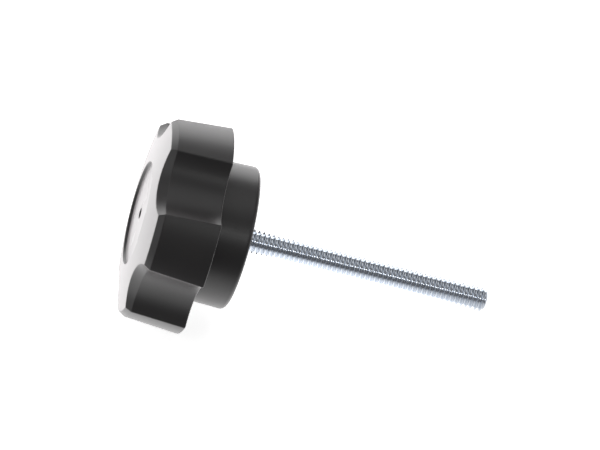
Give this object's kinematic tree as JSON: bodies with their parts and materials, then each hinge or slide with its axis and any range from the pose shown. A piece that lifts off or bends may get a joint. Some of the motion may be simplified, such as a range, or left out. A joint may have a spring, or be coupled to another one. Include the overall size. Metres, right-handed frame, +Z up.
{
  "type": "thumb screw",
  "caption": "Lobed black plastic hand knob moulded on a long threaded steel stud, for clamping or adjusting by hand, lying at rest on its lobes and the tip of its stud.",
  "frame": {"origin": "on the surface that the screw lies on, below the middle of its whole length and in its plane of symmetry", "axes": "+X along the length, from the knob to the stud's tip; +Z up; the screw's own axis lies in the XZ plane and dips 17.03 degrees below +X, as the screw comes to rest on two lobes and the tip of its stud"},
  "size_m": [0.0948, 0.055, 0.0543],
  "materials": {
    "moulded_plastic": "satin black thermoplastic, as moulded",
    "zinc_plated_steel": "bright zinc plating over a rolled thread"
  },
  "bodies": {
    "root": {"knob": "moulded_plastic", "stud": "zinc_plated_steel"}
  },
  "joints": []
}
